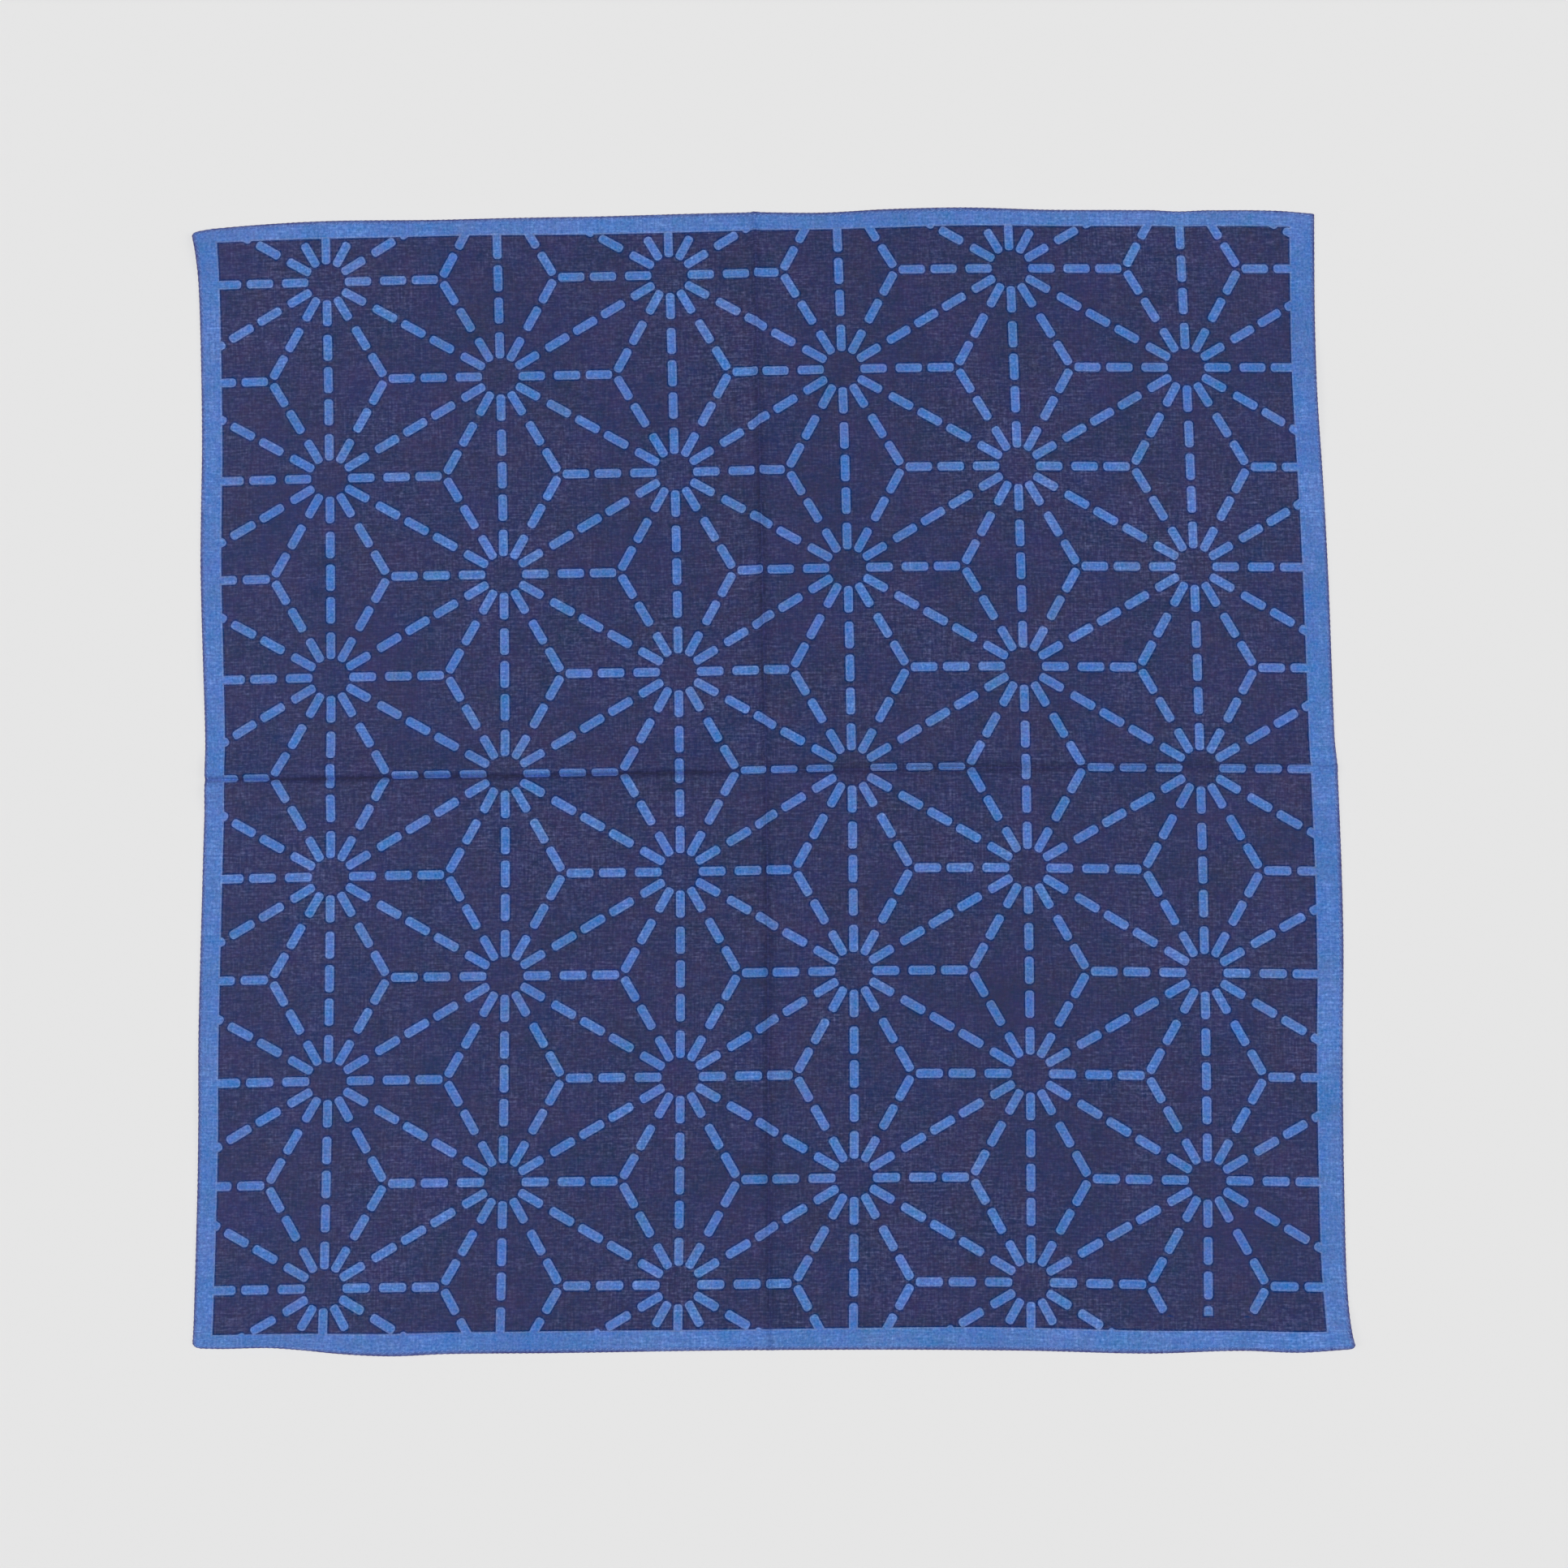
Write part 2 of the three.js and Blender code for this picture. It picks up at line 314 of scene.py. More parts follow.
def along_table(table, at):
    """Value at a place along a table: a cubic through the rows, sloped at each row by its neighbours."""
    places, values = table[:, 0], table[:, 1]
    before = np.maximum(np.arange(len(places)) - 1, 0)
    after = np.minimum(np.arange(len(places)) + 1, len(places) - 1)
    slopes = (values[after] - values[before]) / (places[after] - places[before])
    at = np.clip(at, places[0], places[-1])
    row = np.clip(np.searchsorted(places, at) - 1, 0, len(places) - 2)
    span = places[row + 1] - places[row]
    t = (at - places[row]) / span
    rise = t * t * (3 - 2 * t)
    straight = values[row] * (1 - rise) + values[row + 1] * rise
    leaving = slopes[row] * t * (1 - t) ** 2 * span
    arriving = slopes[row + 1] * t * t * (t - 1) * span
    return straight + leaving + arriving


def near_edge(inset, width):
    """1 at the hem's outer edge, falling as a square to 0 at this width from it."""
    return np.clip(1 - inset / width, 0, 1) ** 2


print("edge rows:", [len(t) for t in (LEFT_EDGE, RIGHT_EDGE, BOTTOM_EDGE, TOP_EDGE)])

# %% [markdown]
# The pressed folds. The bandana was kept folded in four, so a cross of creases is left in it.
# The upright crease stands up as a narrow ridge all the way. The level crease lies in a
# sharp trough on the left, flattens where the two cross and turns into a ridge on the right.
# Each crease is a table of heights along it and a profile across it, whose two flanks differ.
# Neither is quite straight, so a second table carries the line and the cloth beside it aside.
# The ink is also darkened along the lines as painted shade, most of all in the trough.

# %% Creases
CREST_ROUND = 0.35 * MM
CREASE_REACH = 18 * MM
WANDER_REACH = 30 * MM
# painted shade along the creases: its width, and its share on the ridges
CREASE_SHADE_WIDTH = 2.0 * MM
RIDGE_SHADE_SHARE = 0.4
CHECKED_AT = np.array((100.0,)) * MM

# how far each flank takes to fall to a third: on the low side, on the high side
UPRIGHT_FLANKS = np.array((1.6, 2.3)) * MM
RIDGE_FLANKS = np.array((1.6, 2.0)) * MM
TROUGH_FLANKS = np.array((1.7, 0.9)) * MM

# along the crease, height
UPRIGHT_RIDGE = np.array((
    (-266, 1.7), (-215, 2.4), (-152, 2.9), (-92, 3.2), (-35, 2.6), (40, 2.6), (95, 3.2), (155, 2.7),
    (215, 2.2), (264.5, 1.6),
)) * MM
LEVEL_TROUGH = np.array((
    (-261, 2.6), (-215, 3.5), (-130, 3.5), (-60, 3.7), (-24, 2.9), (-8, 0.8), (4, 0.0),
)) * MM
LEVEL_RIDGE = np.array((
    (-8, 0.0), (12, 2.0), (30, 2.9), (70, 3.4), (100, 3.4), (140, 2.7), (215, 2.3), (264, 1.3),
)) * MM

# along the crease, aside
UPRIGHT_WANDER = np.array((
    (-266, 2.4), (-200, 0.9), (-130, 0.4), (-60, 0.3), (0, 0.1), (165, 0.1), (225, 0.8), (264.5, 1.2),
)) * MM
LEVEL_WANDER = np.array((
    (-261, 0.8), (-240, 0.5), (-215, -0.2), (-188, -0.5), (-150, -0.45), (-121, -1.15), (-83, -1.15),
    (-45, -1.0), (20, -0.7), (100, -0.3), (264, 0.0),
)) * MM


def bell(distance, width):
    """1 in the middle, 0 at the width and beyond: the square of one minus the squared distance."""
    return np.clip(1 - (distance / width) ** 2, 0, None) ** 2


def ridge(distance, flanks):
    """A crest that is rounded off at its line and falls away to each side by its own width."""
    width = np.where(distance < 0, flanks[0], flanks[1])
    rounded = np.hypot(distance, CREST_ROUND) - CREST_ROUND
    return np.exp(-rounded / width) * bell(distance, CREASE_REACH)


def trough(distance, flanks):
    """Shoulders that drop to 0 at the line, each by its own width, and fall away slowly outwards."""
    width = np.where(distance < 0, flanks[0], flanks[1])
    return (1 - np.exp(-np.abs(distance) / width)) * bell(distance, CREASE_REACH)


def crease_lift(x, y):
    """Height of both creases together: the root of the sum of their squares."""
    upright = along_table(UPRIGHT_RIDGE, y) * ridge(x, UPRIGHT_FLANKS)
    raised = along_table(LEVEL_RIDGE, x) * ridge(y, RIDGE_FLANKS)
    sunk = along_table(LEVEL_TROUGH, x) * trough(y, TROUGH_FLANKS)
    return np.hypot(upright, raised + sunk)


def wander(x, y):
    """Each crease carries the cloth near it aside, less and less with the distance from its line."""
    aside_x = along_table(UPRIGHT_WANDER, y) * np.exp(-((x / WANDER_REACH) ** 2))
    aside_y = along_table(LEVEL_WANDER, x) * np.exp(-((y / WANDER_REACH) ** 2))
    return x + aside_x, y + aside_y


def crease_shade_share(x, y):
    """Share of painted crease shade: a bell about each crease's line, full in the trough."""
    level = np.maximum(along_table(LEVEL_TROUGH, x) / LEVEL_TROUGH[:, 1].max(), RIDGE_SHADE_SHARE)
    return np.maximum(level * bell(y, CREASE_SHADE_WIDTH), RIDGE_SHADE_SHARE * bell(x, CREASE_SHADE_WIDTH))


print("ridge height, mm:", (crease_lift(np.zeros(1), CHECKED_AT) / MM).round(2))

# %% [markdown]
# The rest of the lie: the hem lifts off the floor here and there and the sheet has a little
# slack. The print has a lie of its own. A crease takes up a little cloth, so print beside it
# comes closer. The printed rows sway slightly, and the printed frame is pulled out of line
# here and there, because hemmed cloth is never quite square.

# %% Tables of the lie
CURL_WIDTH = 20 * MM
SLACK_HEIGHT = 0.22 * MM
TAKE_UP_WIDTH = 1.7 * MM

# side, place along it, spread, rise
EDGE_LIFTS = (
    ("left", 262, 26, 2.2), ("left", 60, 36, 1.2), ("left", -150, 40, 1.0),
    ("right", 176, 38, 1.8), ("right", -150, 34, 1.3), ("right", -262, 22, 1.8),
    ("bottom", -222, 30, 1.8), ("bottom", 110, 40, 1.0), ("bottom", 226, 24, 1.2),
    ("top", -110, 44, 1.0), ("top", 201, 22, 1.7),
)

# millimetres across and upwards for one radian, start
SLACK_WAVES = ((30, 71, 0.4), (-48, 44, 2.1), (83, -29, 4.4))

# along the crease, cloth taken up
UPRIGHT_TAKE_UP = np.array(((-266, 0.9), (0, 1.0), (264.5, 1.0))) * MM
LEVEL_TAKE_UP = np.array(((-261, 1.2), (0, 1.1), (150, 0.6), (264, 0.2))) * MM

# across the cloth, how far up the printed rows lie
ROW_SWAY = np.array((
    (-261, 0.8), (-223, 0.7), (-157, 0.3), (-92, -0.2), (-26, -0.3), (39, 0.3), (104, 0.5),
    (170, -0.3), (235, -0.7), (264, -0.8),
)) * MM

# along the side, how far the printed frame is pulled to the right or upwards
FRAME_LEFT = np.array((
    (-266, -0.4), (-170, -0.1), (-134, -0.5), (-40, -0.1), (5, 0.5), (60, -0.1), (105, -0.5),
    (160, 0.0), (264.5, -0.3),
)) * MM
FRAME_RIGHT = np.array((
    (-266, 2.4), (-247, 1.8), (-225, 0.7), (-195, 0.2), (-140, -0.1), (-100, 0.7), (-50, 0.7),
    (0, 0.1), (110, -0.3), (183, -1.1), (228, 0.0), (264.5, 1.2),
)) * MM
FRAME_BOTTOM = np.array((
    (-261, -1.8), (-226, -1.8), (-200, -1.1), (-150, -0.6), (-75, -0.2), (20, -0.5), (110, -0.2),
    (264, 0.0),
)) * MM
FRAME_TOP = np.array((
    (-261, 0.5), (-195, 0.0), (-135, 0.5), (-75, 0.0), (20, -0.1), (65, -0.5), (130, 0.0), (200, 0.5),
    (264, 0.3),
)) * MM
FRAME_INSET = 9 * MM
FRAME_REACH = 28 * MM
print("lifted stretches of hem:", len(EDGE_LIFTS))

# %% [markdown]
# With these tables any place of the nominal rectangle can be laid: corners rounded, creases
# raised, edges moved and the whole sheet bowed. Its place on the flat cloth is worked out
# beside it, for the print.

# %% Laying the cloth


def edge_lift(x, y, insets):
    """Highest of the lifted stretches of hem, each a bell along its side that curls away inwards."""
    rises = []
    for side, along, spread, rise in EDGE_LIFTS:
        place = y if side in ("left", "right") else x
        stretch = bell(place - along * MM, spread * MM)
        rises.append(rise * MM * stretch * near_edge(insets[side], CURL_WIDTH))
    return np.max(rises, axis=0)


def slack(x, y):
    """Slight ups and downs of cloth that lies loose: three slow waves averaged, never below 0."""
    waves = [np.sin(x / (a * MM) + y / (b * MM) + start) for a, b, start in SLACK_WAVES]
    return SLACK_HEIGHT * (1 + np.mean(waves, axis=0)) / 2


def rounded_corners(insets):
    """Insets near a corner, carried from a square onto a quarter disc of that corner's radius."""
    corners = (("left", "bottom"), ("right", "bottom"), ("right", "top"), ("left", "top"))
    for (across, upright), radius in zip(corners, CORNER_ROUND):
        a, b = insets[across], insets[upright]
        p, q = np.clip(1 - a / radius, 0, 1), np.clip(1 - b / radius, 0, 1)
        both = (p > 0) & (q > 0)
        insets[across] = np.where(both, radius * (1 - p * np.sqrt(1 - q * q / 2)), a)
        insets[upright] = np.where(both, radius * (1 - q * np.sqrt(1 - p * p / 2)), b)
    return insets


def lay(x, y):
    """Laid place of nominal points: corners rounded, creases raised, edges moved, sheet bowed."""
    insets = {"left": x - LEFT, "right": RIGHT - x, "bottom": y - BOTTOM, "top": TOP - y}
    insets = rounded_corners(insets)
    x = np.where(insets["left"] < insets["right"], LEFT + insets["left"], RIGHT - insets["right"])
    y = np.where(insets["bottom"] < insets["top"], BOTTOM + insets["bottom"], TOP - insets["top"])
    lift = crease_lift(x, y) + edge_lift(x, y, insets) + slack(x, y)
    x, y = wander(x, y)
    near = {side: near_edge(inset, EDGE_REACH) for side, inset in insets.items()}
    out_x = along_table(RIGHT_EDGE, y) * near["right"] - along_table(LEFT_EDGE, y) * near["left"]
    out_y = along_table(TOP_EDGE, x) * near["top"] - along_table(BOTTOM_EDGE, x) * near["bottom"]
    s, t = x / HALF_SIDE, y / HALF_SIDE
    laid_x = x + out_x - BOW_SIDEWAYS * t * t
    laid_y = y + out_y - BOW_UPWARD * s * s + FAN * s * t
    return np.stack((laid_x, laid_y, lift), axis=-1)


def frame_pull(x, y):
    """How far the print is pulled aside and up: each side's table, full at the border, less inwards."""
    right = along_table(FRAME_LEFT, y) * near_edge(x - LEFT - FRAME_INSET, FRAME_REACH)
    right += along_table(FRAME_RIGHT, y) * near_edge(RIGHT - x - FRAME_INSET, FRAME_REACH)
    upward = along_table(FRAME_BOTTOM, x) * near_edge(y - BOTTOM - FRAME_INSET, FRAME_REACH)
    upward += along_table(FRAME_TOP, x) * near_edge(TOP - y - FRAME_INSET, FRAME_REACH)
    return right, upward + along_table(ROW_SWAY, x)


def flat_place(x, y):
    """Place on the flat cloth: half of each crease's take-up is given back on either side of it."""
    aside_x, aside_y = wander(x, y)
    right, upward = frame_pull(x, y)
    flat_x = aside_x + along_table(UPRIGHT_TAKE_UP, y) / 2 * np.tanh(x / TAKE_UP_WIDTH)
    flat_y = aside_y + along_table(LEVEL_TAKE_UP, x) / 2 * np.tanh(y / TAKE_UP_WIDTH)
    return np.stack((flat_x - right, flat_y - upward), axis=-1)


corner_check = lay(np.array([LEFT, RIGHT]), np.array([BOTTOM, TOP]))
print("laid corners, mm:", (corner_check / MM).round(1).tolist())

# %% [markdown]
# The hem is the cloth's own edge, turned under twice and stitched down. It is carried as one
# section round the four sides: from the single cloth up over the turned layers, over the
# rolled rim and back under. The stitching pulls it into slanted puckers, one for each stitch.
# A fine ring for the hem and a coarser grid for the middle share one mesh.

# %% Hem section and its puckers
CLOTH_THICKNESS = 0.42 * MM
HEM_START = 12 * MM
STITCH_LENGTH = 2.6 * MM
STITCH_INSET = 1.55 * MM
SIDE_COLUMNS = 840
PUCKER_DEPTH = 0.16 * MM
PUCKER_SLANT = 1.1
RIM_SCALLOP = 0.09 * MM
PUCKER_MEAN, PUCKER_SWING = 0.75, 0.25
PUCKER_RATE, PUCKER_START = 0.23, 0.6

# share of a stitch, radians for each stitch, start
STITCH_DRIFTS = ((0.16, 0.37, 0.0), (0.11, 0.91, 1.3))

# inset from the edge, height, share of the pucker, share of the scallop, underside
HEM_SECTION = np.array((
    (9.0, 0.43, 0.00, 0.0, 0),
    (6.0, 0.49, 0.10, 0.0, 0),
    (4.2, 0.62, 0.40, 0.0, 0),
    (3.2, 0.88, 0.75, 0.1, 0),
    (2.5, 1.00, 0.95, 0.2, 0),
    (1.95, 0.96, 1.00, 0.3, 0),
    (1.55, 0.86, 1.00, 0.4, 0),
    (1.15, 0.96, 0.95, 0.5, 0),
    (0.65, 1.02, 0.80, 0.7, 0),
    (0.22, 0.88, 0.60, 0.9, 0),
    (0.0, 0.45, 0.20, 1.0, 0),
    (0.16, 0.08, 0.00, 1.0, 1),
    (0.6, 0.00, 0.00, 0.6, 1),
    (3.3, 0.00, 0.00, 0.0, 1),
    (3.45, 0.32, 0.00, 0.0, 1),
    (9.0, 0.00, 0.00, 0.0, 1),
))
SIDE_LENGTHS = np.array((RIGHT - LEFT, TOP - BOTTOM, RIGHT - LEFT, TOP - BOTTOM))
SIDE_STARTS = np.concatenate(((0,), np.cumsum(SIDE_LENGTHS)))
HEM_LENGTH = SIDE_STARTS[-1]
STITCH_COUNT = round(HEM_LENGTH / STITCH_LENGTH)
CORNERS = np.array(((LEFT, BOTTOM), (RIGHT, BOTTOM), (RIGHT, TOP), (LEFT, TOP)))
INWARDS = np.array(((1, 1), (-1, 1), (-1, -1), (1, -1)))
OUTWARDS = np.array(((0, -1), (1, 0), (0, 1), (-1, 0)))


def ring_place(turn, inset):
    """Nominal place on the ring at an inset: a turn of 0 to 4, one for each side, from left bottom."""
    side = np.floor(turn).astype(int) % 4
    share = (turn - np.floor(turn))[..., None]
    start = CORNERS[side] + INWARDS[side] * inset[..., None]
    end = CORNERS[(side + 1) % 4] + INWARDS[(side + 1) % 4] * inset[..., None]
    return start + (end - start) * share


def stitch_phase(turn, inset):
    """Stitches counted along the hem and slanted across it, with a slow drift so that no two match."""
    side = np.floor(turn).astype(int) % 4
    along = SIDE_STARTS[side] + (turn - np.floor(turn)) * SIDE_LENGTHS[side]
    count = along / HEM_LENGTH * STITCH_COUNT
    drift = sum(share * np.sin(count * rate + start) for share, rate, start in STITCH_DRIFTS)
    return count + drift + PUCKER_SLANT * (inset - STITCH_INSET) / STITCH_LENGTH


def hem_points(turn, section):
    """Points of the hem: the section's inset and height on the laid ring, puckered and scalloped."""
    inset = section[..., 0] * MM
    wave = 2 * math.pi * stitch_phase(turn, inset)
    strength = PUCKER_MEAN + PUCKER_SWING * np.sin(PUCKER_RATE * wave / math.pi + PUCKER_START)
    place = ring_place(turn, inset)
    points = lay(place[..., 0], place[..., 1])
    side = np.floor(turn).astype(int) % 4
    scallop = RIM_SCALLOP * section[..., 3] * strength * np.cos(wave)
    points[..., :2] += OUTWARDS[side] * scallop[..., None]
    points[..., 2] += section[..., 1] * MM
    points[..., 2] -= PUCKER_DEPTH * section[..., 2] * strength * (0.5 + 0.5 * np.cos(wave))
    return points, flat_place(place[..., 0], place[..., 1])


print("stitches round the hem:", STITCH_COUNT)

# %% [markdown]
# The middle of the cloth is a grid whose lines crowd together at the creases and open out
# between them. The line places come from a spacing that grows with the distance from the
# crease: summing its inverse counts the lines, and reading that sum backwards places them.

# %% Grid of the middle
FINE_SPACING = 0.14 * MM
OPEN_SPACING = 8 * MM
SPACING_GROWTH = 0.075
COUNTING_STEPS = 20001


def half_lines(length):
    """Line distances from a crease at 0 out to this length."""
    distance = np.linspace(0, length, COUNTING_STEPS)
    spacing = np.minimum(FINE_SPACING + SPACING_GROWTH * distance, OPEN_SPACING)
    counted = np.concatenate(((0,), np.cumsum(np.diff(distance) / spacing[1:])))
    return np.interp(np.linspace(0, counted[-1], round(counted[-1]) + 1), counted, distance)


def grid_lines(low, high):
    """Lines from the low edge over the crease at 0 to the high edge."""
    return np.concatenate((-half_lines(-low)[:0:-1], half_lines(high)))


COLUMN_LINES = grid_lines(LEFT + HEM_START, RIGHT - HEM_START)
ROW_LINES = grid_lines(BOTTOM + HEM_START, TOP - HEM_START)
print("grid lines:", len(COLUMN_LINES), "by", len(ROW_LINES))

# %% [markdown]
# Joining the parts. The grid's rim and the ring's first row run round the same four sides
# with different spacing, so a zip of triangles closes the gap: each short edge of one takes
# the nearest point of the other.

# %% Grids, rims and zips


def grid_quads(rows, columns):
    """Corner numbers of a grid's quads, facing up."""
    first = (np.arange(rows - 1)[:, None] * columns + np.arange(columns - 1)).ravel()
    return np.stack((first, first + 1, first + columns + 1, first + columns), axis=1)


def grid_rim(rows, columns):
    """Numbers of a grid's rim points, turning left from its first corner."""
    below = np.arange(columns - 1)
    right = np.arange(rows - 1) * columns + columns - 1
    above = rows * columns - 1 - np.arange(columns - 1)
    left = (rows - 1 - np.arange(rows - 1)) * columns
    return np.concatenate((below, right, above, left))


def rim_turns():
    """Turn from 0 to 4 of each rim point of the middle grid."""
    across = (COLUMN_LINES - COLUMN_LINES[0]) / (COLUMN_LINES[-1] - COLUMN_LINES[0])
    upward = (ROW_LINES - ROW_LINES[0]) / (ROW_LINES[-1] - ROW_LINES[0])
    sides = (across[:-1], 1 + upward[:-1], 2 + (1 - across[:0:-1]), 3 + (1 - upward[:0:-1]))
    return np.concatenate(sides)


def zip_rings(inner, inner_turns, outer, outer_turns):
    """Triangles between two rings, facing up: each edge takes the point across from its middle."""
    inner_middles = (inner_turns + np.append(inner_turns[1:], 4)) / 2
    outer_middles = (outer_turns + np.append(outer_turns[1:], 4)) / 2
    facing_inner = inner[np.searchsorted(inner_middles, outer_middles) % len(inner)]
    facing_outer = outer[np.searchsorted(outer_middles, inner_middles) % len(outer)]
    outer_edges = np.stack((outer, np.roll(outer, -1), facing_inner), axis=1)
    inner_edges = np.stack((np.roll(inner, -1), inner, facing_outer), axis=1)
    return np.concatenate((outer_edges, inner_edges))


print("rim points of the middle:", len(rim_turns()))

# %% [markdown]
# Now the cloth itself. Top and underside are made the same way, and the result is one closed
# skin with no loose edge. Points and faces are worked out as whole arrays and handed over at
# once, moved so that the outline's middle lies where the solid's does and the lowest point on
# the ground. The bottom of the trough is a sharp fold, so smooth shading is broken along it.

# %% Mesh of the cloth


def make_mesh(name, points, quads, triangles):
    """A mesh from whole arrays of points, four-sided faces and triangles, shaded smooth."""
    mesh = bpy.data.meshes.new(name)
    corners = np.concatenate((quads.ravel(), triangles.ravel())).astype(np.int32)
    sizes = np.concatenate((np.full(len(quads), 4), np.full(len(triangles), 3)))
    starts = np.concatenate(((0,), np.cumsum(sizes)[:-1])).astype(np.int32)
    mesh.vertices.add(len(points))
    mesh.vertices.foreach_set("co", points.astype(np.float32).ravel())
    mesh.loops.add(len(corners))
    mesh.loops.foreach_set("vertex_index", corners)
    mesh.polygons.add(len(sizes))
    mesh.polygons.foreach_set("loop_start", starts)
    mesh.polygons.foreach_set("use_smooth", np.ones(len(sizes), dtype=bool))
    mesh.update(calc_edges=True)
    return mesh, corners, sizes


def cloth_points():
    """Points of both grids and of the ring, with each one's flat place, inset and share of painted crease
    shade.
    """
    x, y = np.meshgrid(COLUMN_LINES, ROW_LINES)
    under = lay(x.ravel(), y.ravel())
    over = under + (0, 0, CLOTH_THICKNESS)
    flat = flat_place(x.ravel(), y.ravel())
    turns = np.tile(np.arange(4 * SIDE_COLUMNS) / SIDE_COLUMNS, (len(HEM_SECTION), 1))
    ring, ring_flat = hem_points(turns, HEM_SECTION[:, None, :])
    ring_insets = np.repeat(HEM_SECTION[:, 0] * MM, 4 * SIDE_COLUMNS)
    ring_nominal = ring_place(turns, HEM_SECTION[:, None, 0] * MM).reshape(-1, 2)
    crease_shaded = crease_shade_share(x.ravel(), y.ravel())
    points = np.concatenate((over, under, ring.reshape(-1, 3)))
    places = np.concatenate((flat, flat, ring_flat.reshape(-1, 2)))
    insets = np.concatenate((np.full(2 * len(under), HEM_START), ring_insets))
    return points, places, insets, np.concatenate((crease_shaded, crease_shaded, crease_shade_share(*ring_nominal.T)))


def cloth_faces():
    """Quads and triangles of the closed cloth, and which of them face down."""
    turns = np.arange(4 * SIDE_COLUMNS) / SIDE_COLUMNS
    middle = grid_quads(len(ROW_LINES), len(COLUMN_LINES))
    rim = grid_rim(len(ROW_LINES), len(COLUMN_LINES))
    grid_count = len(ROW_LINES) * len(COLUMN_LINES)
    ring = 2 * grid_count + np.arange(len(HEM_SECTION) * len(turns)).reshape(-1, len(turns))
    inner, outer = ring[:-1], ring[1:]
    hem = np.stack((outer, np.roll(outer, -1, axis=1), np.roll(inner, -1, axis=1), inner), axis=-1)
    over_zip = zip_rings(rim, rim_turns(), ring[0], turns)
    under_zip = zip_rings(rim + grid_count, rim_turns(), ring[-1], turns)[:, ::-1]
    quads = np.concatenate((middle, (middle + grid_count)[:, ::-1], hem.reshape(-1, 4)))
    hem_under = np.repeat(HEM_SECTION[1:, 4], len(turns))
    quads_under = np.concatenate((np.zeros(len(middle)), np.ones(len(middle)), hem_under))
    triangles_under = np.repeat((0, 1), (len(over_zip), len(under_zip)))
    facing_down = np.concatenate((quads_under, triangles_under)) > 0
    return quads, np.concatenate((over_zip, under_zip)), facing_down


def break_light(mesh, chosen):
    """Marks the edges between chosen points as sharp, so that smooth shading stops at them."""
    ends = np.empty(2 * len(mesh.edges), dtype=np.int32)
    mesh.edges.foreach_get("vertices", ends)
    sharp = chosen[ends.reshape(-1, 2)].all(axis=1)
    mesh.attributes.new("sharp_edge", "BOOLEAN", "EDGE").data.foreach_set("value", sharp)
    return int(sharp.sum())


points, places, insets, crease_shade_shares = cloth_points()
quads, triangles, facing_down = cloth_faces()
outline_middle = (points.max(axis=0) + points.min(axis=0)) / 2
shift = np.array((node_low + node_high) / 2) - outline_middle
shift[2] = -points[:, 2].min()
mesh, face_corners, face_sizes = make_mesh("bandana", points + shift, quads, triangles)
cloth = bpy.data.objects.new("bandana", mesh)
bpy.context.scene.collection.objects.link(cloth)
trough_line = (ROW_LINES[:, None] == 0) & (COLUMN_LINES[None, :] < LEVEL_TROUGH[-1, 0])
chosen = np.zeros(len(points), dtype=bool)
chosen[:2 * trough_line.size] = np.tile(trough_line.ravel(), 2)
print("sharp edges in the trough:", break_light(mesh, chosen))
print("cloth faces:", len(face_sizes), "triangles:", int((face_sizes - 2).sum()))
print("shift of the outline's middle, mm:", (shift / MM).round(2))

# %% [markdown]
# Two maps go with the mesh. The first holds each point's place on the flat cloth in metres,
# so that the print bends with the bow and sinks into the creases as real print does. The
# second spreads the face and, in a low strip, the underside over one square, for programs
# that need a picture. Two attributes hold each point's inset, for the worn ink of the hem and
# the painted shade on its rim and edge, and its share of the painted shade on the creases.

# %% Maps of the cloth
FACE_SHARE = 0.85
MAP_MARGIN = 0.003


def add_map(name, values):
    """A map of the cloth with this value at every face corner."""
    layer = mesh.uv_layers.new(name=name, do_init=False)
    layer.uv.foreach_set("vector", values.astype(np.float32).ravel())


corner_places = places[face_corners]
corner_down = np.repeat(facing_down, face_sizes)[:, None]
unit = (corner_places - places.min(axis=0)) / np.ptp(places, axis=0)
face_square = MAP_MARGIN + unit * (FACE_SHARE - 2 * MAP_MARGIN)
strip_size = np.array((1 - 2 * MAP_MARGIN, 1 - FACE_SHARE - 2 * MAP_MARGIN))
under_strip = np.array((MAP_MARGIN, FACE_SHARE + MAP_MARGIN)) + unit * strip_size
add_map("flat_cloth", corner_places)
add_map("OFBake", np.where(corner_down, under_strip, face_square))
mesh.uv_layers.active = mesh.uv_layers["flat_cloth"]
for name, values in (("hem_inset", insets), ("painted_crease_shade", crease_shade_shares)):
    layer = mesh.attributes.new(name, "FLOAT", "POINT")
    layer.data.foreach_set("value", values.astype(np.float32))

# %% [markdown]
# The print is the old hemp-leaf figure, drawn as if in running stitch: twelve-rayed stars on
# a triangle grid. A picture of it could be painted, but the figure is so regular that a few
# foldings of the plane do it: mirror the plane into one small triangle between two rays,
# and there only two lines of dashes are left. Each dash is a box with rounded corners.

# %% Hemp-leaf print
PITCH_ACROSS = 93.3 * MM
PITCH_UPWARD = 94.5 * MM
DASH_LENGTH = 0.1326
DASH_WIDTH = 0.0435
DASH_ROUND = 0.40 * DASH_WIDTH
RAY_START = 0.092
FIRST_GAP = 0.045
DASH_CENTRES = (RAY_START + DASH_LENGTH / 2, RAY_START + 1.5 * DASH_LENGTH + FIRST_GAP)
EDGE_LAST_CENTRE = 0.5
SPOKE_LAST_CENTRE = 0.4963
ROOT_3 = math.sqrt(3)
FIELD_LEFT, FIELD_RIGHT = -252.0 * MM, 252.8 * MM
FIELD_BOTTOM, FIELD_TOP = -256.4 * MM, 256.7 * MM
PLAIN_LEFT, PLAIN_TOP = 171 * MM, -249.8 * MM


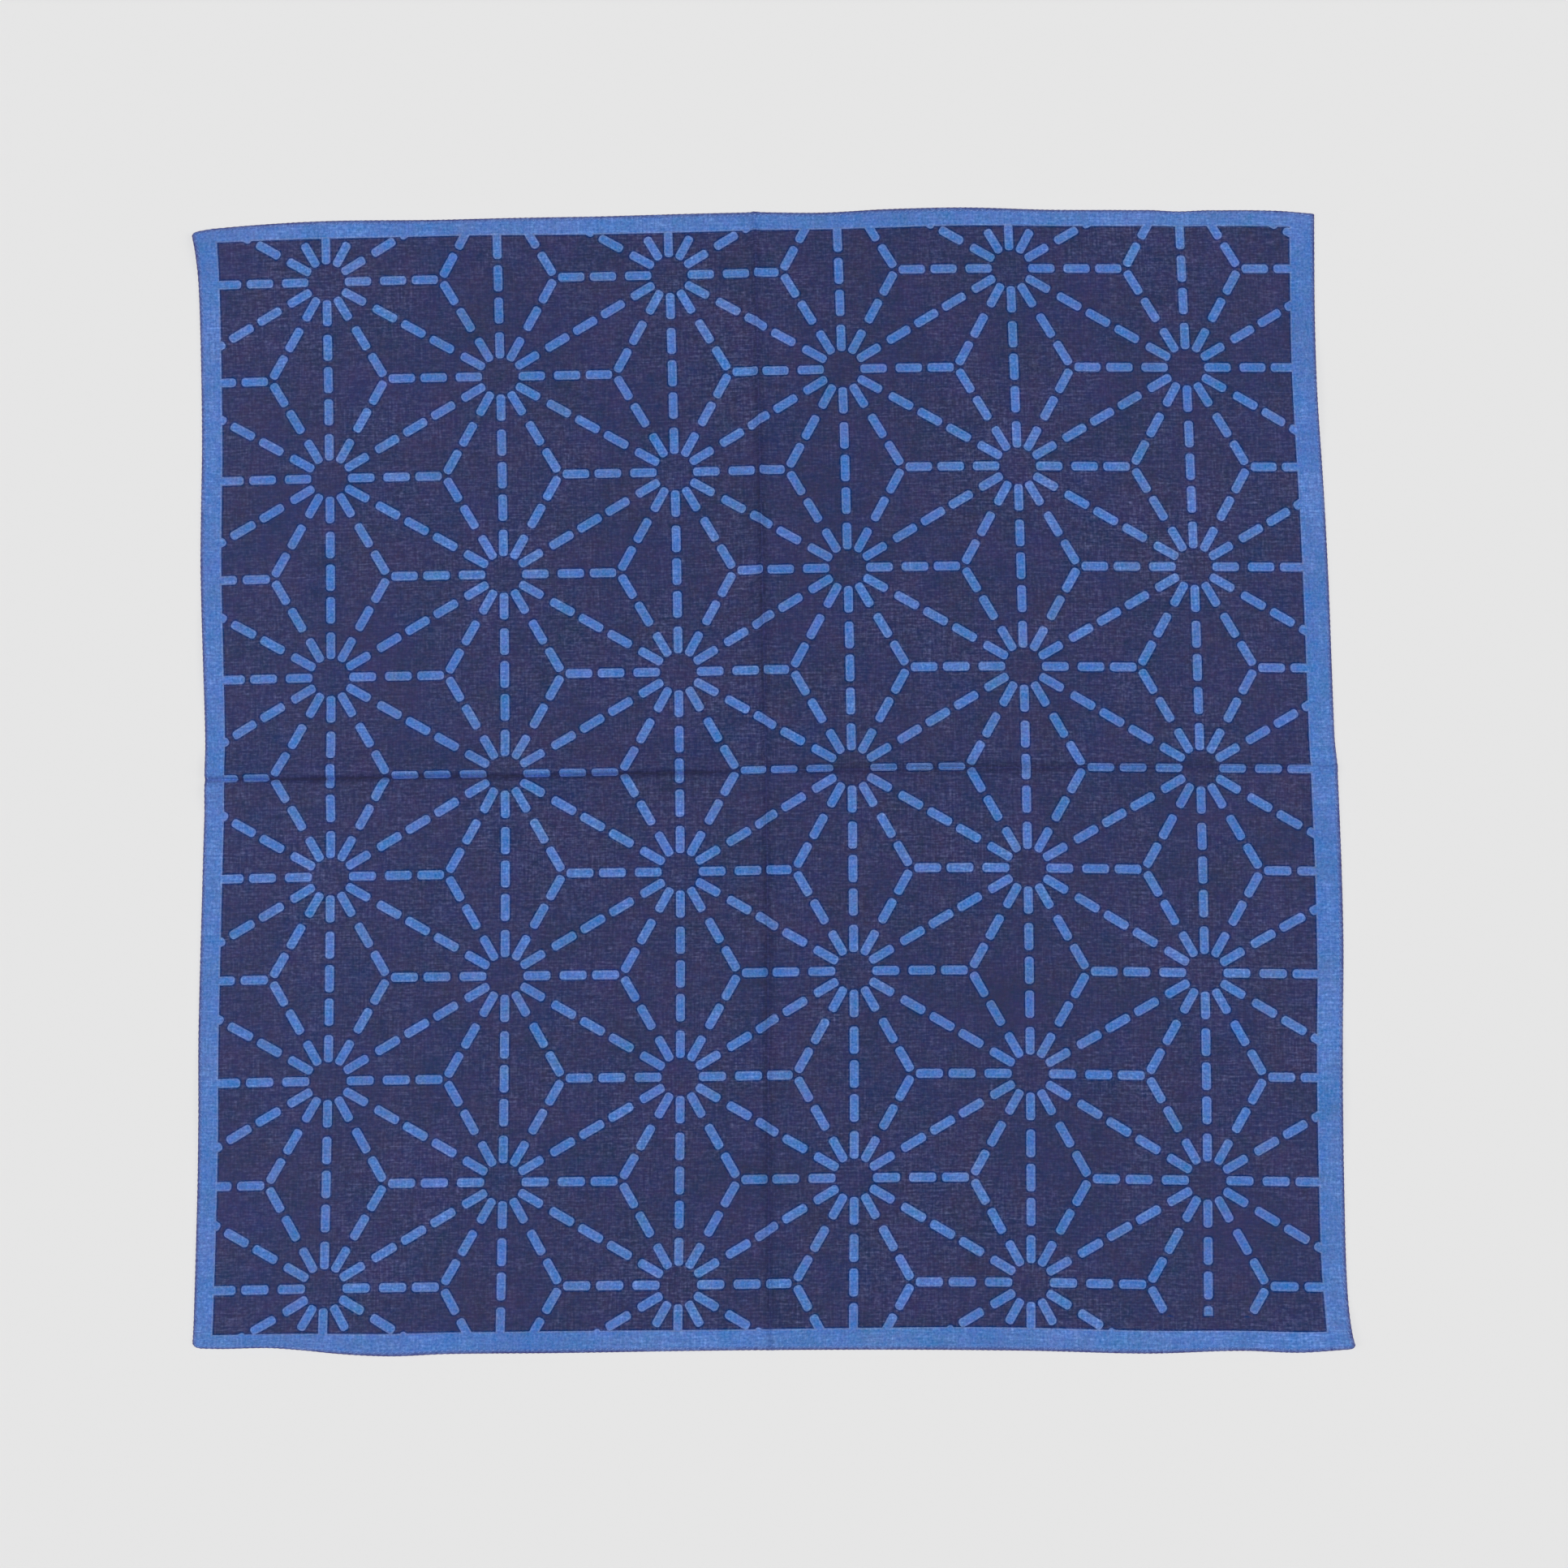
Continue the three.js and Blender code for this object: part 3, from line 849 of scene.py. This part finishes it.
def dash_distance(along, across, last_centre):
    """Distance outside a row of three dashes, in pitches: a rounded box about the nearest centre."""
    nearest = abs(along - last_centre)
    for centre in DASH_CENTRES:
        nearest = nearest.least(abs(along - centre))
    past_end = nearest - (DASH_LENGTH / 2 - DASH_ROUND)
    past_side = across - (DASH_WIDTH / 2 - DASH_ROUND)
    over_end, over_side = past_end.most(0), past_side.most(0)
    corner = (over_end * over_end + over_side * over_side).root()
    return corner + past_end.most(past_side).least(0) - DASH_ROUND


def hemp_leaf(across, upward):
    """Pitches to the nearest dash: fold to a half cell, to one star, then to one twelfth of it."""
    x = (across / PITCH_ACROSS - ROOT_3 / 4).fold(ROOT_3 / 2)
    y = (upward / PITCH_UPWARD).fold(0.5)
    far = (x * (ROOT_3 / 2) + y * 0.5) > 0.5
    x = x + far * (ROOT_3 / 2 - 2 * x)
    y = y + far * (0.5 - 2 * y)
    over_60 = (y * 0.5 - x * (ROOT_3 / 2)).most(0)
    x = x + over_60 * ROOT_3
    y = y - over_60
    over_30 = (y * (ROOT_3 / 2) - x * 0.5).most(0)
    x = x + over_30
    y = y - over_30 * ROOT_3
    spokes = dash_distance(x, y, SPOKE_LAST_CENTRE)
    edge_along = x * (ROOT_3 / 2) + y * 0.5
    edge_across = x * 0.5 - y * (ROOT_3 / 2)
    return spokes.least(dash_distance(edge_along, edge_across, EDGE_LAST_CENTRE))


def figure_distance(across, upward):
    """Metres to the blue print, negative inside it: the dashes, and all that lies outside the field.
    In the field's lower right corner the rays stop short of a low plain strip.
    """
    plain_strip = (across - PLAIN_LEFT).least(PLAIN_TOP - upward)
    dashes = (hemp_leaf(across, upward) * PITCH_ACROSS).most(plain_strip)
    sides = (across - FIELD_LEFT).least(FIELD_RIGHT - across)
    ends = (upward - FIELD_BOTTOM).least(FIELD_TOP - upward)
    return dashes.least(sides).least(ends)


print("dash, mm:", [round(v * PITCH_ACROSS / MM, 1) for v in (DASH_LENGTH, DASH_WIDTH)])

# %% [markdown]
# The cotton is a plain weave with uneven yarn. From a step away the single threads melt
# together, and what shows are the thick places in the yarn: pale streaks along the weft, fewer
# along the warp, and small flecks, livelier in some patches than in others. Each kind of streak
# is a noise stretched to its size. The weave itself is a checker of half waves.

# %% Yarn and weave
YARN_PITCH = 0.45 * MM
CHECKER_SHARE, GROOVE_SHARE = 0.5, 0.25
NOISE_MIDDLE, NOISE_STRETCH = 0.5, 3
CLOUD_SIZE, CLOUD_DETAIL, CLOUD_ROUGHNESS = 80 * MM, 4, 0.8
GROUND_CLOUD, FIGURE_CLOUD = 0.5, 1.0
CLOUD_LIVELY = 0.92
GRAIN_SIZE = 1.0 * MM
GRAIN_SHARE = 1.45
PALE_SLUBS = 0.36
SLUB_MEAN = 0.125

# size across, size upwards, share of the tone: flecks, weft, warp, long weft, long warp
YARN_NOISES = (
    (1.6 * MM, 1.15 * MM, 1.13),
    (4.4 * MM, 0.85 * MM, 1.0),
    (0.8 * MM, 4.4 * MM, 0.66),
    (18 * MM, 0.9 * MM, 0.84),
    (0.9 * MM, 18 * MM, 0.62),
)


def patch_noise(place, size_across, size_upward, detail=2.0, roughness=0.5, start=0.0):
    """Noise between about -1 and 1, stretched to these sizes on the flat cloth, from its own start."""
    scale = (1 / size_across, 1 / size_upward, 1)
    inputs = {0: place, 1: scale, 2: (start, start, 0)}
    vector = place.node("ShaderNodeVectorMath", {"operation": "MULTIPLY_ADD"}, inputs)
    values = {"Vector": vector, "Scale": 1.0, "Detail": detail, "Roughness": roughness}
    noise = place.node("ShaderNodeTexNoise", {"noise_dimensions": "2D"}, values, "Fac")
    return (noise - NOISE_MIDDLE) * NOISE_STRETCH


def weave_height(across, upward):
    """Plain weave: threads over and under in a checker of half waves, with a groove along each."""
    over = (across * (math.pi / YARN_PITCH)).sine()
    along = (upward * (math.pi / YARN_PITCH)).sine()
    return over * along * CHECKER_SHARE + (abs(over) + abs(along)) * GROOVE_SHARE


def yarn_tone(place, noises, figure_share):
    """Paler and darker yarn: the streaks' sum and its square, livelier in clouds, grain on the figure."""
    cloud = patch_noise(place, CLOUD_SIZE, CLOUD_SIZE, CLOUD_DETAIL, CLOUD_ROUGHNESS)
    streaks = sum(noise * share for noise, (*_, share) in zip(noises, YARN_NOISES))
    slubs = (streaks + streaks * streaks * PALE_SLUBS - SLUB_MEAN) * (cloud * CLOUD_LIVELY + 1)
    slow = cloud * (figure_share * (FIGURE_CLOUD - GROUND_CLOUD) + GROUND_CLOUD)
    grain = patch_noise(place, GRAIN_SIZE, GRAIN_SIZE) * figure_share * GRAIN_SHARE
    return slubs + slow + grain


print("threads in a centimetre:", round(10 * MM / YARN_PITCH))

# %% [markdown]
# The inks. Both drift between a violet and a clearer blue. Where the figure meets the ground
# they overlap in a dark line, with a paler one inside it. A duller blue on the hem's rim is
# painted shade between the stitch puckers, and a purple on its turned edge is painted shade of
# the rolled edge. Steps of colour are given in screen numbers, as the eye sees them, and turned
# into what they add in linear numbers.

# %% Inks
GROUND, FIGURE = (52.3, 56.1, 94.5), (78.0, 118.3, 189.7)
OVERLAP_DARK, OVERLAP_PALE = linear(26, 49, 103), linear(97, 124, 183)
# painted shade: purple on the rolled edge, a duller blue between the stitch puckers
EDGE_SHADE_PURPLE, RIM_SHADE_BLUE = linear(80, 84, 136), linear(82, 98, 153)
BACK_PALE = linear(150, 160, 190)
DRIFT_SIZE, DRIFT_DETAIL, DRIFT_ROUGHNESS = 28 * MM, 5, 1.0
RED_START, BLUE_START = 17.0, 43.0
BORDER_CALM = 0.3
RIM_SHADE_SHARE = 0.85

# from and to, as distances outside the figure
DARK_BAND = 0.32 * MM, 0.96 * MM
PALE_BAND = -0.96 * MM, -0.4 * MM

# from and to, as insets from the edge
EDGE_SHADE_BAND = 0.3 * MM, 0.9 * MM
RIM_SHADE_BAND = 0.65 * MM, 2.2 * MM

# rise of red, green and blue for one step of a noise, on the ground and on the figure
TONE_STEPS = (10.1, 10.1, 10.1), (10, 10, 10)
RED_STEPS = (12.4, -5, -5), (24, -11, -11)
BLUE_STEPS = (-1.4, -1.4, 11), (-2.5, -2.5, 18.5)
WEAR_STEPS = (0, 0, 0), (4, 2.5, -1)


def gains(steps):
    """What the ground and the figure gain in linear numbers when their screen numbers rise so."""
    inks = GROUND, FIGURE
    raised = [linear(*np.add(ink, step)) for ink, step in zip(inks, steps)]
    return [tuple(np.subtract(high, linear(*ink))) for high, ink in zip(raised, inks)]


def paler(colour, share):
    """A colour moved this share of the way to the pale wrong side of the cloth."""
    return tuple(np.add(np.multiply(colour, 1 - share), np.multiply(BACK_PALE, share)))


def two_inks(distance, figure_share, pale_share):
    """Ground and figure with the lines where they overlap, weaker on the pale side of the cloth."""
    outside = (1 - distance.step(*DARK_BAND)) * (1 - pale_share)
    inside = distance.step(*PALE_BAND) * (1 - pale_share)
    ground = outside.blend(paler(linear(*GROUND), pale_share), OVERLAP_DARK)
    figure = inside.blend(paler(linear(*FIGURE), pale_share), OVERLAP_PALE)
    return figure_share.blend(ground, figure)


def drifting(inks, place, figure_share, hem_share):
    """Inks that drift to violet and to blue, less on the border, and wear paler towards the edge."""
    calm = 1 - hem_share * BORDER_CALM
    drift = DRIFT_SIZE, DRIFT_SIZE, DRIFT_DETAIL, DRIFT_ROUGHNESS
    violet = patch_noise(place, *drift, RED_START) * calm
    clear = patch_noise(place, *drift, BLUE_START) * calm
    for change, steps in ((violet, RED_STEPS), (clear, BLUE_STEPS), (hem_share, WEAR_STEPS)):
        inks = change.blend(inks, figure_share.blend(*gains(steps)), "ADD")
    return inks


def painted_hem_shade(inks, inset):
    """Inks with painted shade on the hem: a duller blue between the puckers, purple on the rolled edge.
    """
    rim_shaded = ((1 - inset.step(*RIM_SHADE_BAND)) * RIM_SHADE_SHARE).blend(inks, RIM_SHADE_BLUE)
    return (1 - inset.step(*EDGE_SHADE_BAND)).blend(rim_shaded, EDGE_SHADE_PURPLE)


print("ground gains in linear numbers:", np.round(gains(TONE_STEPS)[0][:3], 4).tolist())

# %% [markdown]
# The material puts these together. The inks are laid by the distance from the figure, whose
# edge the yarn frays, then toned by the yarn, darkened along the creases as painted shade,
# lightened a little towards the sides as painted light and shaded by the weave. A fine bump
# carries single threads, which are too small to model. The underside gets the same print, paler.

# %% Printed cotton
WEAR_START = 5 * MM
PRINT_FRAY = 0.10 * MM
PRINT_SOFT = 0.14 * MM
# painted light: the ground's colour added towards the left and right sides, more on the left
SIDE_LIGHT_COLOUR, SIDE_LIGHT_CURVE, SIDE_LIGHT_LEAN = linear(56, 60, 97), 0.078, 0.034
WEAVE_SHADE, WEAVE_BASE = 0.1, 0.982
WEAVE_BUMP, WEAVE_RELIEF = 0.6, 0.10 * MM
SLUB_HEIGHT = 0.4
COTTON_ROUGHNESS, SLUB_GLOSS = 0.9, 0.04
COTTON_SHINE = 0.16
FUZZ_SHARE, FUZZ_ROUGHNESS = 0.05, 0.5
FACE_PALE_SHARE, BACK_PALE_SHARE = 0.0, 0.25

# painted crease shade, what red, green and blue are multiplied by: on the ground, on the figure, then on
# the hem
CREASE_SHADE_INKS = (0.82, 0.82, 1.12, 1), (1.0, 1.0, 1.02, 1)
CREASE_SHADE_HEM = (0.5, 0.42, 0.6, 1)


def mesh_value(start, name):
    """The mesh's own attribute of this name."""
    return start.node("ShaderNodeAttribute", {"attribute_name": name}, {}, "Fac")


def make_cotton(name, pale_share):
    """Printed cotton: two inks by the distance from the figure, toned by yarn and shaded by weave."""
    material, shader, start = new_material(name)
    place = start.node("ShaderNodeUVMap", {"uv_map": "flat_cloth"})
    across = start.node("ShaderNodeSeparateXYZ", {}, {0: place}, "X")
    upward = start.node("ShaderNodeSeparateXYZ", {}, {0: place}, "Y")
    inset = mesh_value(start, "hem_inset")
    hem_share = 1 - inset.step(WEAR_START, HEM_START)
    noises = [patch_noise(place, *sizes) for *sizes, _ in YARN_NOISES]
    _, weft, warp = noises[:3]
    distance = figure_distance(across, upward) + (weft + warp) * PRINT_FRAY
    figure_share = 1 - distance.step(-PRINT_SOFT, PRINT_SOFT)
    inks = two_inks(distance, figure_share, pale_share)
    inks = painted_hem_shade(drifting(inks, place, figure_share, hem_share), inset)
    tone = yarn_tone(place, noises, figure_share)
    toned = tone.blend(inks, figure_share.blend(*gains(TONE_STEPS)), "ADD")
    # painted shade: the creases darkened and tinted bluer, most on the hem
    crease_shade_ink = hem_share.blend(figure_share.blend(*CREASE_SHADE_INKS), CREASE_SHADE_HEM)
    crease_shaded = mesh_value(start, "painted_crease_shade").blend(toned, crease_shade_ink, "MULTIPLY")
    side = across / HALF_SIDE
    # painted light: lighter towards the sides
    side_lit = (side * side * SIDE_LIGHT_CURVE - side * SIDE_LIGHT_LEAN).blend(crease_shaded, SIDE_LIGHT_COLOUR, "ADD")
    weave = weave_height(across, upward)
    product = {"data_type": "RGBA", "blend_type": "MULTIPLY"}
    factors = {"Factor_Float": 1.0, "A_Color": side_lit, "B_Color": weave * WEAVE_SHADE + WEAVE_BASE}
    link(start.node("ShaderNodeMix", product, factors, "Result_Color"), shader, "Base Color")
    height = weave + weft * SLUB_HEIGHT
    bump = {"Strength": WEAVE_BUMP, "Distance": WEAVE_RELIEF, "Height": height}
    link(start.node("ShaderNodeBump", {}, bump), shader, "Normal")
    link(COTTON_ROUGHNESS - weft * SLUB_GLOSS, shader, "Roughness")
    shader.inputs["Specular IOR Level"].default_value = COTTON_SHINE
    shader.inputs["Sheen Weight"].default_value = FUZZ_SHARE
    shader.inputs["Sheen Roughness"].default_value = FUZZ_ROUGHNESS
    return material


mesh.materials.append(make_cotton("printed_cotton", FACE_PALE_SHARE))
mesh.materials.append(make_cotton("printed_cotton_back", BACK_PALE_SHARE))
mesh.polygons.foreach_set("material_index", facing_down.astype(np.int32))
mesh.update()
print("materials:", [m.name for m in mesh.materials])

# %% [markdown]
# The hem's sewing. Every stitch is a short length of thread that comes up, lies slanted on
# the cloth and goes down again. All of them are one mesh worked out at once: a tube of a few
# sides along a low arch, repeated for each stitch round the hem.

# %% Hem stitches
THREAD_DIAMETER = 0.46 * MM
STITCH_SHOWN = 0.5
STITCH_SLANT = 0.6 * MM
STITCH_STEPS = 6
STITCH_SIDES = 6
STITCH_SINK = 0.34 * MM
STITCH_LIFT = 0.3 * THREAD_DIAMETER
STITCH_PUCKER = 0.6
STITCH_SEED = 7
ALONG_JITTER, INSET_JITTER = 0.04, 0.06
END_TAPER = 0.35
OVER_ROWS = HEM_SECTION[HEM_SECTION[:, 4] == 0][::-1]


def stitch_lines():
    """Middle lines of the stitches: spaced along the hem, slanted across it, arched down at the ends."""
    rng = np.random.default_rng(STITCH_SEED)
    t = np.linspace(-0.5, 0.5, STITCH_STEPS)[None, :]
    number = np.arange(STITCH_COUNT)[:, None] + 0.5
    number = number + rng.normal(0, ALONG_JITTER, (STITCH_COUNT, 1))
    along = (number + t * STITCH_SHOWN) % STITCH_COUNT / STITCH_COUNT * HEM_LENGTH
    side = np.clip(np.searchsorted(SIDE_STARTS, along, side="right") - 1, 0, 3)
    turn = side + (along - SIDE_STARTS[side]) / SIDE_LENGTHS[side]
    inset = STITCH_INSET / MM + STITCH_SLANT / MM * t
    inset = inset + rng.normal(0, INSET_JITTER, (STITCH_COUNT, 1))
    height = np.interp(inset, OVER_ROWS[:, 0], OVER_ROWS[:, 1])
    none = np.zeros_like(inset)
    lines, _ = hem_points(turn, np.stack((inset, height, none + STITCH_PUCKER, none), axis=-1))
    lines[..., 2] += STITCH_LIFT - STITCH_SINK * (2 * np.abs(t)) ** 4
    return lines


def tube_points(lines):
    """Circles across each line, on the sideways and upward directions at right angles to it."""
    ahead = np.gradient(lines, axis=1)
    ahead /= np.linalg.norm(ahead, axis=-1, keepdims=True)
    across = np.cross(ahead, (0, 0, 1))
    across /= np.linalg.norm(across, axis=-1, keepdims=True)
    above = np.cross(across, ahead)
    angle = np.arange(STITCH_SIDES) / STITCH_SIDES * 2 * math.pi
    sideways = across[:, :, None] * np.cos(angle)[:, None]
    circle = sideways + above[:, :, None] * np.sin(angle)[:, None]
    taper = 1 - END_TAPER * np.abs(np.linspace(-1, 1, STITCH_STEPS)) ** 3
    return lines[:, :, None] + THREAD_DIAMETER / 2 * taper[:, None, None] * circle


def tube_faces():
    """Faces of every stitch: quads round the tube and a fan of triangles at both ends."""
    numbers = np.arange(STITCH_COUNT * STITCH_STEPS * STITCH_SIDES)
    numbers = numbers.reshape(STITCH_COUNT, STITCH_STEPS, STITCH_SIDES)
    here, after = numbers[:, :-1], numbers[:, 1:]
    sides = np.stack((here, np.roll(here, -1, axis=2), np.roll(after, -1, axis=2), after), axis=-1)
    first, last = numbers[:, 0], numbers[:, -1]
    fan = np.arange(1, STITCH_SIDES - 1)
    corner = np.zeros_like(fan)
    starts = np.stack((first[:, corner], first[:, fan + 1], first[:, fan]), axis=-1)
    ends = np.stack((last[:, corner], last[:, fan], last[:, fan + 1]), axis=-1)
    return sides.reshape(-1, 4), np.concatenate((starts.reshape(-1, 3), ends.reshape(-1, 3)))


thread_points = tube_points(stitch_lines()).reshape(-1, 3) + shift
thread_mesh, _, thread_sizes = make_mesh("hem_stitches", thread_points, *tube_faces())
stitches = bpy.data.objects.new("hem_stitches", thread_mesh)
bpy.context.scene.collection.objects.link(stitches)
print("stitch faces:", len(thread_sizes), "triangles:", int((thread_sizes - 2).sum()))

# %% [markdown]
# The thread is a little brighter than the print under it, paler and darker by turns, with
# its twist as a fine bump.

# %% Sewing thread
THREAD_BLUE, THREAD_PALE = linear(95, 127, 199), linear(132, 160, 222)
FIBRES_IN_METRE, FIBRE_DETAIL = 900.0, 2.0
FIBRE_BAND = 0.3, 0.7
TWIST_BUMP, TWIST_RELIEF = 0.4, 0.05 * MM
THREAD_ROUGHNESS, THREAD_SHINE = 0.7, 0.25


def make_thread():
    """Sewing thread: one blue, paler and darker along its length, with the twist as fine bump."""
    material, shader, start = new_material("hem_thread")
    place = start.node("ShaderNodeTexCoord", {}, {}, "Object")
    noise = {"Vector": place, "Scale": FIBRES_IN_METRE, "Detail": FIBRE_DETAIL}
    tone = start.node("ShaderNodeTexNoise", {}, noise, "Fac")
    link(tone.step(*FIBRE_BAND).blend(THREAD_BLUE, THREAD_PALE), shader, "Base Color")
    twist = {"Strength": TWIST_BUMP, "Distance": TWIST_RELIEF, "Height": tone}
    link(start.node("ShaderNodeBump", {}, twist), shader, "Normal")
    shader.inputs["Roughness"].default_value = THREAD_ROUGHNESS
    shader.inputs["Specular IOR Level"].default_value = THREAD_SHINE
    return material


thread_mesh.materials.append(make_thread())
print("thread material:", thread_mesh.materials[0].name)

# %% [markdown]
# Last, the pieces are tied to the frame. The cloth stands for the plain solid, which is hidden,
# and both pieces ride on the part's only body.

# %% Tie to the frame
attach(cloth, BODY)
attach(stitches, BODY)
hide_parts(CLOTH_NODE)
